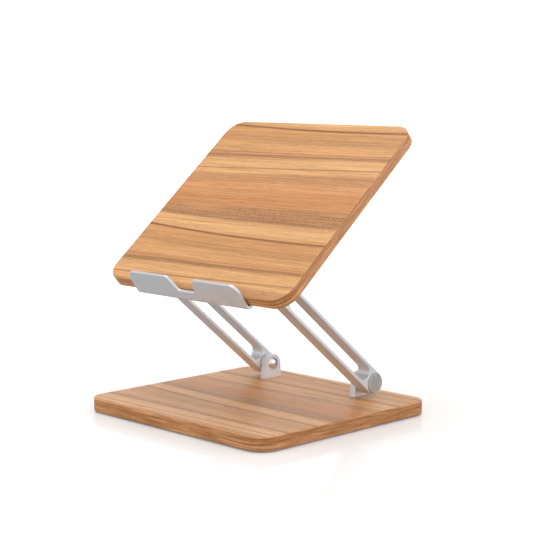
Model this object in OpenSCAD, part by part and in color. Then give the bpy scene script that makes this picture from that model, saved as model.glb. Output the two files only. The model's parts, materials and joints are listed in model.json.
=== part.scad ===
// Folding tablet stand: two wooden boards joined by a pair of slotted aluminium arms.
// Millimetres, +Z up. The user faces +Y, so -Y is the front and +X is the right.
// The origin is at the middle of the footprint, on the surface that the feet stand on.

/* [Boards] */
// Width of both boards, left to right
board_w = 240; // [200:1:300]
// Depth of both boards, front to back
board_d = 224; // [190:1:280]
// Thickness of the base board
base_t = 12.7; // [10:0.1:18]
// Thickness of the tablet board
top_t = 11.2; // [10:0.1:18]
// Radius of the boards' four vertical corners
corner_r = 19; // [8:0.5:40]
// Radius of the rounded edges all round the boards
edge_r = 1.2; // [0.5:0.1:3]
// Height of the anti-slip feet
foot_h = 1.2; // [0.8:0.1:4]
// Diameter of each foot
foot_d = 16; // [8:1:24]
// Distance of each foot's centre from the two nearest sides
foot_inset = 20; // [14:1:40]

/* [Pose as built] */
// How far the arms rise above the horizontal, in degrees
arm_lift = 39.5; // [5:0.5:85]
// Slope of the tablet board, in degrees
board_slope = 40.2; // [0:0.2:43]

/* [Arms] */
// Distance from the lower pivot to the upper pivot
arm_len = 160; // [120:1:200]
// Width of an arm, seen from its side
arm_w = 21.3; // [19:0.1:30]
// Thickness of an arm, along the pivots
arm_t = 14.5; // [12:0.1:20]
// Width of the long slot through an arm
slot_w = 14.9; // [8:0.1:15]
// Distance from a pivot to the centre of the slot's round end
slot_inset = 20; // [18:0.5:40]
// Distance from the middle of the stand to an arm's inner face
arm_x = 65.2; // [40:0.1:90]

/* [Brackets] */
// Distance of the pivots from the middle of each board, front to back
pivot_set = 78.5; // [60:0.5:85]
// Height of the pivots above the board that carries them
pivot_h = 14.2; // [13.6:0.1:20]
// Thickness of a bracket's ear
ear_t = 7; // [6.5:0.1:8]
// Radius of the ear's round end
ear_r = 9.8; // [8:0.1:12]
// Length of the ear where it meets the board
ear_foot = 23.2; // [20:0.1:30]
// Gap between an ear and its arm, filled by a friction washer
ear_gap = 1; // [0.6:0.1:2]
// Width of the upper brackets' screwed flange, beyond the ear
flange_w = 13; // [11:0.5:20]
// Thickness of that flange
flange_t = 2.6; // [2.4:0.1:4]

/* [Hinge hardware] */
// Diameter of the pivot bolts
bolt_d = 6; // [5:0.5:6]
// Diameter of the bolts' domed heads
head_d = 11.6; // [10:0.1:12]
// Height of the dome above the head's rim
dome_h = 2.2; // [1.5:0.1:3]
// Diameter of the recess for the head in the ear
head_recess_d = 12.4; // [12.2:0.1:13]
// Depth of that recess
head_recess = 2.2; // [1.5:0.1:3]
// Diameter of the cap discs that close the arms' recesses
cap_d = 19; // [17:0.1:19]
// How far a cap disc stands proud of the arm
cap_proud = 0.5; // [0.1:0.1:1]

/* [Ledge] */
// Width of the ledge that holds the tablet's lower edge
ledge_w = 148; // [100:1:180]
// Height of the ledge's lip above the tablet board's face
lip_h = 15; // [8:0.5:25]
// Thickness of the ledge's sheet
sheet_t = 2.8; // [2:0.1:3]
// Gap between the lip and the board's front edge
lip_gap = 1; // [0.6:0.1:3]
// How far the lip leans back over the board, in degrees
lip_lean = 5; // [0:1:12]
// Inner radius of the bend
bend_r = 2.4; // [1.5:0.1:4]
// Depth of the flange that is screwed under the board
ledge_flange = 18; // [14:0.5:20]
// Radius of the lip's two outer corners
lip_corner_r = 9.5; // [2:0.5:10]
// Width of the cable notch at its bottom
notch_w = 21.4; // [12:0.1:40]
// How much each side of the notch leans outwards over its depth
notch_flare = 7; // [0:0.5:10]
// Radius of the notch's four corners
notch_round = 3; // [1:0.5:5]
// How far the notch's floor lies below the tablet board's face
notch_sink = 0.7; // [0:0.1:2]

/* [Hidden] */
$fn = 96;

slack = 0.05;                       // play between pieces that touch or turn on each other
base_top = foot_h + base_t;         // height of the base board's upper face
lower_z = base_top + pivot_h;       // height of the lower pivots
upper_y = pivot_set - arm_len * cos(arm_lift);
upper_z = lower_z + arm_len * sin(arm_lift);

// Across the stand, from the middle outwards
ear_out = arm_x - ear_gap;
ear_in = ear_out - ear_t;
arm_out = arm_x + arm_t;

// Along a pivot, from the head's seat outwards
seat_x = ear_in + head_recess;
recess_depth = 8.5;                 // depth of the arms' outer recess
recess_x = arm_out - recess_depth;  // floor of that recess
recess_d = cap_d + 0.6;
bore_d = bolt_d + 2 * slack;
nylon_t = 0.8;                      // outer friction washer
spring_t = 0.8;                     // one conical spring washer, as tightened
steel_t = 1;
nut_t = 3.5;
nut_across = 10;                    // across the nut's flats
cap_t = 1.4;
cap_skirt = 1.2;                    // how far the cap's skirt reaches in behind its disc
spring_x = recess_x + slack + nylon_t + slack;
steel_x = spring_x + 2 * spring_t + slack;
nut_x = steel_x + steel_t + slack;
bolt_end = nut_x + nut_t + 0.3;

// Countersunk screws
base_screw_d = 4;
base_screw_head = 7.6;
base_screw_pitch = 13;
base_screw_sink = 1;                // how deep the base's screw heads lie below its underside
base_screw_grip = 6.5;              // how far they reach into an ear
base_screw_length = base_t - base_screw_sink + base_screw_grip;
screw_room = 0.4;                   // how much deeper a screw's hole is than the screw
wood_screw_d = 3.2;
wood_screw_head = 6;
wood_screw_bite = 7;                // how far a wood screw reaches into the tablet board
flange_screw_pitch = 12;
ledge_screw_x = [-56, -20, 20, 56];
socket_depth = 1.1;                 // of the hexagon socket in every screw

// ---------- Frames ----------

// Draws its children in a side view, Y across and Z up, as a slab from x0 to x1.
module side_slab(x0, x1) {
    translate([x0, 0, 0])
        rotate([90, 0, 90])
            linear_extrude(x1 - x0)
                children();
}

// Turns its children's Z axis to +X and puts them at x along the pivot.
module along_pivot(x) {
    translate([x, 0, 0])
        rotate([0, 90, 0])
            children();
}

module at_lower_pivot() {
    translate([0, pivot_set, lower_z])
        children();
}

module at_upper_pivot() {
    translate([0, upper_y, upper_z])
        children();
}

// The tablet board's own frame: origin at the middle of its underside, Y up the slope.
module on_tablet_board() {
    at_upper_pivot()
        rotate([board_slope, 0, 0])
            translate([0, pivot_set, pivot_h])
                children();
}

module both_sides() {
    for (side = [0, 1])
        mirror([side, 0, 0])
            children();
}

// ---------- Shapes that repeat ----------

// Half of a slab's side outline, from its middle plane out to reach.
module edge_profile(reach, t) {
    translate([0, edge_r])
        square([reach, t - 2 * edge_r]);
    square([reach - edge_r, t]);
    for (z = [edge_r, t - edge_r])
        translate([reach - edge_r, z])
            circle(edge_r);
}

// A slab with round corners and round edges, its underside on Z = 0.
module board_blank(t) {
    straight_x = board_w - 2 * corner_r;
    straight_y = board_d - 2 * corner_r;
    for (turn = [0, 180])
        rotate([0, 0, turn]) {
            translate([-straight_x / 2, 0, 0])
                rotate([90, 0, 90])
                    linear_extrude(straight_x)
                        edge_profile(board_d / 2, t);
            translate([0, straight_y / 2, 0])
                rotate([90, 0, 0])
                    linear_extrude(straight_y)
                        edge_profile(board_w / 2, t);
        }
    for (x = [-1, 1], y = [-1, 1])
        translate([x * straight_x / 2, y * straight_y / 2, 0])
            rotate_extrude()
                edge_profile(corner_r, t);
}

// A bar with round ends between two points on the X axis.
module stadium(x0, x1, w) {
    translate([x0, -w / 2])
        square([x1 - x0, w]);
    for (x = [x0, x1])
        translate([x, 0])
            circle(w / 2);
}

// A flat ring of thickness t round the Z axis.
module ring(outer_d, inner_d, t) {
    difference() {
        cylinder(d = outer_d, h = t);
        translate([0, 0, -1])
            cylinder(d = inner_d, h = t + 2);
    }
}

// A countersunk screw: its head's flat face is at Z = 0 and its shank runs up.
module countersunk_screw(d, head, length) {
    head_h = (head - d) / 2;
    difference() {
        union() {
            cylinder(d = d, h = length - d / 2);
            cylinder(d1 = head, d2 = d, h = head_h);
            translate([0, 0, length - d / 2])
                cylinder(d1 = d, d2 = d / 4, h = d / 2);
        }
        translate([0, 0, -1])
            cylinder(d = head * 0.42, h = socket_depth + 1, $fn = 6);
    }
}

// The room that such a screw takes up, with play all round and the hole open below.
module screw_hole(d, head, length, below) {
    head_h = (head - d) / 2;
    cylinder(d = d + 2 * slack, h = length + screw_room);
    cylinder(d1 = head + 2 * slack, d2 = d + 2 * slack, h = head_h);
    translate([0, 0, -below])
        cylinder(d = head + 2 * slack, h = below);
}

// ---------- Base ----------

// Places one child at height z on the axis of each of the right ear's two screws.
module at_ear_screws(z) {
    for (y = [-1, 1])
        translate([(ear_in + ear_out) / 2, pivot_set + y * base_screw_pitch / 2, z])
            children();
}

// Places one child where the head of each of the base's four screws lies.
module at_base_screws() {
    both_sides()
        at_ear_screws(foot_h + base_screw_sink)
            children();
}

module base_board() {
    color("burlywood")
        difference() {
            translate([0, 0, foot_h])
                board_blank(base_t);
            at_base_screws()
                screw_hole(base_screw_d, base_screw_head, base_screw_length, base_screw_sink + 1);
        }
}

module base_feet() {
    color("dimgray")
        for (x = [-1, 1], y = [-1, 1])
            translate([x * (board_w / 2 - foot_inset), y * (board_d / 2 - foot_inset), 0])
                cylinder(d = foot_d, h = foot_h);
}

module base_bracket_screws() {
    color("silver")
        at_base_screws()
            countersunk_screw(base_screw_d, base_screw_head, base_screw_length);
}

// ---------- Brackets ----------

// Side outline of an ear. The pivot is at the origin and the board lies below.
module ear_outline() {
    foot = [ear_foot / 2, -pivot_h];
    reach = norm(foot);
    tangent = atan2(foot.y, foot.x) + acos(ear_r / reach);
    touch = ear_r * [cos(tangent), sin(tangent)];
    circle(ear_r);
    polygon([foot, touch, [-touch.x, touch.y], [-foot.x, foot.y]]);
}

// The right-hand ear with its bore and the recess for the bolt's head.
module ear() {
    difference() {
        side_slab(ear_in, ear_out)
            ear_outline();
        along_pivot(ear_in - 1)
            cylinder(d = bore_d, h = ear_t + 2);
        along_pivot(ear_in - 1)
            cylinder(d = head_recess_d, h = head_recess + 1);
    }
}

module base_bracket() {
    difference() {
        at_lower_pivot()
            ear();
        at_ear_screws(base_top - 1)
            cylinder(d = base_screw_d + 2 * slack, h = base_screw_grip + 1 + screw_room);
    }
}

module base_bracket_right() {
    color("gainsboro")
        base_bracket();
}

module base_bracket_left() {
    color("gainsboro")
        mirror([1, 0, 0])
            base_bracket();
}

// ---------- Pivot hardware, drawn round the X axis on the right ----------

module pivot_bolt() {
    head_r = head_d / 2;
    rim_h = 0.8;
    dome_r = (head_r * head_r + dome_h * dome_h) / (2 * dome_h);
    along_pivot(seat_x - slack)
        cylinder(d = bolt_d, h = bolt_end - seat_x + slack);
    along_pivot(seat_x - slack - rim_h)
        cylinder(r = head_r, h = rim_h);
    intersection() {
        translate([seat_x - slack - rim_h - dome_h + dome_r, 0, 0])
            sphere(dome_r);
        along_pivot(seat_x - slack - rim_h - dome_h)
            cylinder(r = head_r, h = dome_h);
    }
}

module friction_washers() {
    along_pivot(ear_out + slack)
        ring(18, bore_d, ear_gap - 2 * slack);
    along_pivot(recess_x + slack)
        ring(15, bore_d, nylon_t);
}

// Two conical washers, back to back.
module spring_washers() {
    cone = 0.35;
    for (flip = [0, 1])
        along_pivot(spring_x + spring_t)
            mirror([0, 0, flip])
                rotate_extrude()
                    polygon([
                        [bore_d / 2, cone],
                        [7, 0.01],
                        [7, spring_t - cone],
                        [bore_d / 2, spring_t],
                    ]);
}

module steel_washer() {
    along_pivot(steel_x)
        ring(12, bore_d, steel_t);
}

// A hexagon nut with a round locking collar.
module lock_nut() {
    collar = 0.9;
    along_pivot(nut_x)
        difference() {
            union() {
                cylinder(d = nut_across / cos(30), h = nut_t - collar, $fn = 6);
                cylinder(d = nut_across - 1, h = nut_t);
            }
            translate([0, 0, -1])
                cylinder(d = bore_d, h = nut_t + 2);
        }
}

module lower_pivot_bolt_right() {
    color("whitesmoke")
        at_lower_pivot()
            pivot_bolt();
}

module lower_pivot_bolt_left() {
    color("whitesmoke")
        mirror([1, 0, 0])
            at_lower_pivot()
                pivot_bolt();
}

module lower_friction_washers() {
    color("ivory")
        both_sides()
            at_lower_pivot()
                friction_washers();
}

module lower_spring_washers() {
    color("slategray")
        both_sides()
            at_lower_pivot()
                spring_washers();
}

module lower_steel_washers() {
    color("silver")
        both_sides()
            at_lower_pivot()
                steel_washer();
}

module lower_lock_nuts() {
    color("silver")
        both_sides()
            at_lower_pivot()
                lock_nut();
}

module upper_pivot_bolt_right() {
    color("whitesmoke")
        at_upper_pivot()
            pivot_bolt();
}

module upper_pivot_bolt_left() {
    color("whitesmoke")
        mirror([1, 0, 0])
            at_upper_pivot()
                pivot_bolt();
}

module upper_friction_washers() {
    color("ivory")
        both_sides()
            at_upper_pivot()
                friction_washers();
}

module upper_spring_washers() {
    color("slategray")
        both_sides()
            at_upper_pivot()
                spring_washers();
}

module upper_steel_washers() {
    color("silver")
        both_sides()
            at_upper_pivot()
                steel_washer();
}

module upper_lock_nuts() {
    color("silver")
        both_sides()
            at_upper_pivot()
                lock_nut();
}

// ---------- Arms ----------

// The right arm: a slotted bar with a bore and an outer recess at each pivot.
module arm() {
    difference() {
        at_lower_pivot()
            side_slab(arm_x, arm_out)
                rotate(180 - arm_lift)
                    difference() {
                        stadium(0, arm_len, arm_w);
                        stadium(slot_inset, arm_len - slot_inset, slot_w);
                    }
        at_lower_pivot()
            arm_bore();
        at_upper_pivot()
            arm_bore();
    }
}

module arm_bore() {
    along_pivot(arm_x - 1)
        cylinder(d = bore_d, h = arm_t + 2);
    along_pivot(recess_x)
        cylinder(d = recess_d, h = recess_depth + 1);
}

module arm_right() {
    color("gainsboro")
        arm();
}

module arm_left() {
    color("gainsboro")
        mirror([1, 0, 0])
            arm();
}

// A disc with a thin skirt that snaps into the arm's recess.
module cap() {
    chamfer = 0.3;
    disc_x = arm_out + cap_proud - cap_t;
    along_pivot(disc_x - cap_skirt)
        ring(cap_d, cap_d - 2, cap_skirt + slack);
    along_pivot(disc_x)
        cylinder(d = cap_d, h = cap_t - chamfer);
    along_pivot(disc_x + cap_t - chamfer)
        cylinder(d1 = cap_d, d2 = cap_d - 2 * chamfer, h = chamfer);
}

module lower_cap_right() {
    color("darkgray")
        at_lower_pivot()
            cap();
}

module lower_cap_left() {
    color("darkgray")
        mirror([1, 0, 0])
            at_lower_pivot()
                cap();
}

module upper_cap_right() {
    color("darkgray")
        at_upper_pivot()
            cap();
}

module upper_cap_left() {
    color("darkgray")
        mirror([1, 0, 0])
            at_upper_pivot()
                cap();
}

// ---------- Tablet board ----------

// Places one child at each screw of the two upper brackets, in the board's frame.
module at_flange_screws() {
    both_sides()
        for (y = [-1, 1])
            translate([ear_in - flange_w / 2, -pivot_set + y * flange_screw_pitch / 2, -flange_t])
                children();
}

// Places one child at each of the ledge's screws, in the board's frame.
module at_ledge_screws() {
    for (x = ledge_screw_x)
        translate([x, (ledge_flange - board_d) / 2 + 1, -sheet_t])
            children();
}

module tablet_board() {
    color("burlywood")
        on_tablet_board()
            difference() {
                board_blank(top_t);
                at_flange_screws()
                    screw_hole(wood_screw_d, wood_screw_head, flange_t + wood_screw_bite, 1);
                at_ledge_screws()
                    screw_hole(wood_screw_d, wood_screw_head, sheet_t + wood_screw_bite, 1);
            }
}

// The right upper bracket hangs below the board: an ear and a flange with two screw holes.
module board_bracket() {
    on_tablet_board()
        difference() {
            union() {
                translate([0, -pivot_set, -pivot_h])
                    mirror([0, 0, 1])
                        ear();
                translate([ear_in - flange_w, -pivot_set - ear_foot / 2, -flange_t])
                    cube([flange_w + 1, ear_foot, flange_t]);
            }
            at_flange_screws()
                screw_hole(wood_screw_d, wood_screw_head, flange_t + wood_screw_bite, 1);
        }
}

module board_bracket_right() {
    color("gainsboro")
        board_bracket();
}

module board_bracket_left() {
    color("gainsboro")
        mirror([1, 0, 0])
            board_bracket();
}

module board_bracket_screws() {
    color("silver")
        on_tablet_board()
            at_flange_screws()
                countersunk_screw(wood_screw_d, wood_screw_head, flange_t + wood_screw_bite);
}

// ---------- Ledge ----------

// Points along an arc, from one angle to another.
function arc(centre, r, from, to, steps = 10) = [
    for (i = [0:steps])
        centre + r * [cos(from + (to - from) * i / steps), sin(from + (to - from) * i / steps)]
];

// A half outline, followed by its mirror image so that the two close into a loop.
function with_mirror(points) = concat(
    points,
    [for (i = [len(points) - 1:-1:0]) [-points[i].x, points[i].y]]
);

// Side outline in the board's frame, Y up the slope and Z out of the board's face: the sheet
// runs from the flange under the board round the bend and up into the leaning lip.
module ledge_profile() {
    bend_z = bend_r - slack;
    lip_face = -board_d / 2 - lip_gap;
    bend_y = lip_face + bend_r / cos(lip_lean) - (top_t - bend_z) * tan(lip_lean);
    bend = [bend_y, bend_z];
    flange_end = ledge_flange - board_d / 2;
    lip = (top_t + lip_h - bend_z) / cos(lip_lean) * [sin(lip_lean), cos(lip_lean)];
    outside = arc(bend, bend_r + sheet_t, 270, 180 - lip_lean);
    inside = arc(bend, bend_r, 180 - lip_lean, 270);
    polygon(concat(
        [[flange_end, -slack - sheet_t]],
        outside,
        [outside[len(outside) - 1] + lip, inside[0] + lip],
        inside,
        [[flange_end, -slack]]
    ));
}

// Front outline: X across, Y up from the board's underside. The cable notch has flared
// sides and round corners.
module lip_outline() {
    top = top_t + lip_h;
    floor = top_t - notch_sink;
    half = ledge_w / 2;
    lean = atan(notch_flare / (top - floor));
    // From a corner of the notch to where its arc begins
    lead = notch_round * tan((90 - lean) / 2);
    mouth = notch_w / 2 + notch_flare;
    polygon(with_mirror(concat(
        [[-half, -2 * sheet_t]],
        arc([lip_corner_r - half, top - lip_corner_r], lip_corner_r, 180, 90),
        arc([-mouth - lead, top - notch_round], notch_round, 90, lean),
        arc([lead - notch_w / 2, floor + notch_round], notch_round, 180 + lean, 270)
    )));
}

module ledge() {
    color("gainsboro")
        on_tablet_board()
            difference() {
                intersection() {
                    side_slab(-ledge_w / 2 - 1, ledge_w / 2 + 1)
                        ledge_profile();
                    rotate([90, 0, 0])
                        linear_extrude(2 * board_d, center = true)
                            lip_outline();
                }
                at_ledge_screws()
                    screw_hole(wood_screw_d, wood_screw_head, sheet_t + wood_screw_bite, 1);
            }
}

module ledge_screws() {
    color("silver")
        on_tablet_board()
            at_ledge_screws()
                countersunk_screw(wood_screw_d, wood_screw_head, sheet_t + wood_screw_bite);
}

// ---------- What is drawn ----------

base_board();
base_feet();
base_bracket_left();
base_bracket_right();
base_bracket_screws();
lower_pivot_bolt_left();
lower_pivot_bolt_right();
lower_friction_washers();
lower_spring_washers();
lower_steel_washers();
lower_lock_nuts();
arm_left();
arm_right();
lower_cap_left();
lower_cap_right();
upper_cap_left();
upper_cap_right();
upper_pivot_bolt_left();
upper_pivot_bolt_right();
upper_friction_washers();
upper_spring_washers();
upper_steel_washers();
upper_lock_nuts();
tablet_board();
board_bracket_left();
board_bracket_right();
board_bracket_screws();
ledge();
ledge_screws();
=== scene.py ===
"""Looks of a folding tablet stand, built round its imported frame.

Metres, +Z up. The user faces +Y, so -Y is the front and +X is the right.
A board's own frame has its origin at the middle of the underside, +Y up the slope and +Z out of
the face. A side view's own frame has +Z along the pivots, away from the stand's middle.
"""

import json
import logging
import math
from collections.abc import Callable, Iterable, Sequence
from dataclasses import dataclass, field
from enum import Enum
from functools import cache

import bmesh
import bpy
from mathutils import Matrix, Vector


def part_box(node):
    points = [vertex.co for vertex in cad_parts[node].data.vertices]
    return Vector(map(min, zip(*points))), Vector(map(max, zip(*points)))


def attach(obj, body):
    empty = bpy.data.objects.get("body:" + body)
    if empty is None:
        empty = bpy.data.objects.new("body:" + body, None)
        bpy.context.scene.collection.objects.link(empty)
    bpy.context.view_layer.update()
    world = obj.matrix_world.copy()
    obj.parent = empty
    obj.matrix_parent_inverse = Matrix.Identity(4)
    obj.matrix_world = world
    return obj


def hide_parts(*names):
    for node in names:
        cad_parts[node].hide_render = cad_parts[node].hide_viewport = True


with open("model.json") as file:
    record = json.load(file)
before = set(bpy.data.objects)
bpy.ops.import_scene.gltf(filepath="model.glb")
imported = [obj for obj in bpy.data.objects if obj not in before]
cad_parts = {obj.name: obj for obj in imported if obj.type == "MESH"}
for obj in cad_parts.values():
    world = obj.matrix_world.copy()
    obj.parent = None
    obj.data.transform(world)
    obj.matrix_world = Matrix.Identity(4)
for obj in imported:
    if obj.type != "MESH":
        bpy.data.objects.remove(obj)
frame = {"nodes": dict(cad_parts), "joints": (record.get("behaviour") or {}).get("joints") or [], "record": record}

log = logging.getLogger("stand")
MM = 0.001
# Points nearer than this are one point
TOUCHING = 0.001 * MM
Point = tuple[float, float]
Ring = list[bmesh.types.BMVert]


class Side(Enum):
    """The two sides of the stand, as the sign of X."""

    LEFT = -1
    RIGHT = 1

    @property
    def word(self) -> str:
        """The side's name inside a node's name."""
        return self.name.lower()


class Fit(Enum):
    """The frame's material slots."""

    WOOD = "walnut_laminate"
    ALUMINIUM = "satin_aluminium"
    CAP = "brushed_cap"
    CHROME = "polished_chrome"
    ZINC = "zinc_steel"
    SPRING = "spring_steel"
    NYLON = "nylon"
    RUBBER = "foot_rubber"


# ---------------------------------------------------------------- node trees


def math_method(operation: str, reverse: bool = False) -> Callable[..., "Wire"]:
    """A method that adds one Math node on a wire and on what else it is given.

    Args:
        operation: The node's operation.
        reverse: Whether the wire comes last, as in 1 - wire.

    Returns:
        The method.
    """
    def method(wire: "Wire", *others: "Value") -> "Wire":
        operands = (*others, wire) if reverse else (wire, *others)
        return wire.graph.add("ShaderNodeMath", {"operation": operation}, dict(enumerate(operands)))
    return method


class Wire:
    """An output socket that Python's operators work on; each operator adds a Math node."""

    __add__ = __radd__ = math_method("ADD")
    __sub__ = math_method("SUBTRACT")
    __rsub__ = math_method("SUBTRACT", reverse=True)
    __mul__ = __rmul__ = math_method("MULTIPLY")
    __truediv__ = math_method("DIVIDE")
    __mod__ = math_method("FLOORED_MODULO")
    __pow__ = math_method("POWER")
    __abs__ = math_method("ABSOLUTE")
    above = math_method("GREATER_THAN")
    sine = math_method("SINE")
    cosine = math_method("COSINE")

    def __init__(self, graph: "Graph", socket: bpy.types.NodeSocket | None) -> None:
        """Wraps a socket of the graph's tree; an output node has none."""
        self.graph = graph
        self.socket = socket

    def smooth(self, low: float, high: float) -> "Wire":
        """Goes from 0 at low to 1 at high with a soft start and end.

        Args:
            low: The value below which the result is 0.
            high: The value above which it is 1.

        Returns:
            The result.
        """
        settings = {"interpolation_type": "SMOOTHSTEP"}
        ends = {"Value": self, "From Min": low, "From Max": high}
        return self.graph.add("ShaderNodeMapRange", settings, ends)

    def output(self, name: str | int) -> "Wire":
        """Another output of the same node."""
        return Wire(self.graph, self.socket.node.outputs[name])


Value = Wire | float | int | str | Sequence | bpy.types.Material | None
Colour = tuple[float, float, float, float]
Stops = Sequence[tuple[float, Colour]]
WHITE = (1.0, 1.0, 1.0, 1.0)


class Graph:
    """A node tree under construction, for a material or for a mesh."""

    def __init__(self, tree: bpy.types.NodeTree) -> None:
        """Starts on an empty tree."""
        self.tree = tree
        tree.nodes.clear()

    def add(
        self,
        kind: str,
        settings: dict[str, object] | None = None,
        sockets: dict[str | int, Value | list[Wire]] | None = None,
        output: str | int = 0,
    ) -> Wire:
        """Adds one node.

        Args:
            kind: The node's type.
            settings: Its properties, set first; "stops" are a ramp's (place, colour) pairs.
            sockets: The values or wires of its inputs, by name or number.
            output: The output to return, by name or number.

        Returns:
            The output, as a wire.
        """
        node = self.tree.nodes.new(kind)
        for name, value in (settings or {}).items():
            if name == "stops":
                self._set_stops(node.color_ramp, value)
            else:
                setattr(node, name, value)
        for name, value in (sockets or {}).items():
            self.feed(node.inputs[name], value)
        return Wire(self, node.outputs[output] if len(node.outputs) else None)

    def feed(self, socket: bpy.types.NodeSocket, value: Value | list[Wire]) -> None:
        """Links a wire, or several, to an input, or sets the input's value."""
        if isinstance(value, Wire):
            self.tree.links.new(value.socket, socket)
        elif isinstance(value, list):
            for wire in value:
                self.tree.links.new(wire.socket, socket)
        else:
            socket.default_value = value

    @staticmethod
    def _set_stops(ramp: bpy.types.ColorRamp, stops: Stops) -> None:
        """Gives a ramp its stops.

        Args:
            ramp: The ramp, as a new node has it.
            stops: Its (place, colour) pairs, in order.
        """
        while len(ramp.elements) > 1:
            ramp.elements.remove(ramp.elements[0])
        ramp.elements[0].position = stops[0][0]
        ramp.elements[0].color = stops[0][1]
        for place, colour in stops[1:]:
            ramp.elements.new(place).color = colour

    def mix(self, factor: Value, first: Value, second: Value, blend: str = "MIX") -> Wire:
        """Mixes two colours by a factor."""
        settings = {"data_type": "RGBA", "blend_type": blend, "clamp_factor": True}
        return self.add("ShaderNodeMix", settings, {0: factor, 6: first, 7: second}, 2)

    def split(self, vector: Wire) -> tuple[Wire, Wire, Wire]:
        """The three parts of a vector."""
        x = self.add("ShaderNodeSeparateXYZ", None, {0: vector})
        return x, x.output("Y"), x.output("Z")

    def join(self, x: Value, y: Value, z: Value) -> Wire:
        """A vector from its three parts."""
        return self.add("ShaderNodeCombineXYZ", None, {"X": x, "Y": y, "Z": z})

    def noise(self, place: Wire, scale: float, detail: float = 3.0, roughness: float = 0.5) -> Wire:
        """Smooth noise from 0 to 1 round a mean of a half."""
        sockets = {"Vector": place, "Scale": scale, "Detail": detail, "Roughness": roughness}
        return self.add("ShaderNodeTexNoise", None, sockets)

    def bump(self, height: Wire, strength: float, distance: float) -> Wire:
        """A normal that follows a height."""
        sockets = {"Strength": strength, "Distance": distance, "Height": height}
        return self.add("ShaderNodeBump", None, sockets)

    def ramp(self, stops: Stops, place: Wire) -> Wire:
        """A colour ramp's colour at a place from 0 to 1."""
        return self.add("ShaderNodeValToRGB", {"stops": stops}, {0: place})

    def along(self, vector: Wire, way: Sequence[float]) -> Wire:
        """How much of a vector points one way."""
        settings = {"operation": "DOT_PRODUCT"}
        return self.add("ShaderNodeVectorMath", settings, {0: vector, 1: way}, "Value")


# ---------------------------------------------------------------- finishes


def colour(red: int, green: int, blue: int) -> Colour:
    """A linear colour from the usual 0 to 255 screen values."""
    def linear(value: int) -> float:
        share = value / 255
        return share / 12.92 if share <= 0.04045 else ((share + 0.055) / 1.055) ** 2.4
    return (linear(red), linear(green), linear(blue), 1.0)


def stops(*rows: tuple[float, int, int, int]) -> Stops:
    """A ramp's stops from rows of a place and a screen colour."""
    return tuple((place, colour(*screen)) for place, *screen in rows)


@dataclass(frozen=True)
class Grain:
    """Noise that is drawn out: how fine it is along each axis, how detailed and how rough."""

    fineness: tuple[float, float, float]
    detail: float = 2.0
    roughness: float = 0.5

    def on(self, graph: Graph, *place: Value) -> Wire:
        """The noise at a place, given by its three parts."""
        scaled = [part * fine for part, fine in zip(place, self.fineness)]
        return graph.noise(graph.join(*scaled), 1.0, self.detail, self.roughness)


@dataclass(frozen=True)
class Finish:
    """A surface finish, made once as a material and shared by all its pieces."""

    name: str
    fit: Fit

    @cache
    def material(self) -> bpy.types.Material:
        """The finish's material, painted when it is first asked for."""
        made = bpy.data.materials.new(self.name)
        made.use_nodes = True
        graph = Graph(made.node_tree)
        shader = graph.add("ShaderNodeBsdfPrincipled")
        graph.add("ShaderNodeOutputMaterial", None, {"Surface": shader})
        for name, value in self.paint(graph).items():
            graph.feed(shader.socket.node.inputs[name], value)
        return made

    def paint(self, graph: Graph) -> dict[str, Value]:
        """The values and wires of the Principled shader's inputs."""
        raise NotImplementedError

    @staticmethod
    def place(graph: Graph) -> Wire:
        """The surface's place in the row frame, in metres."""
        return graph.add("ShaderNodeTexCoord", output="Object")


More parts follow.
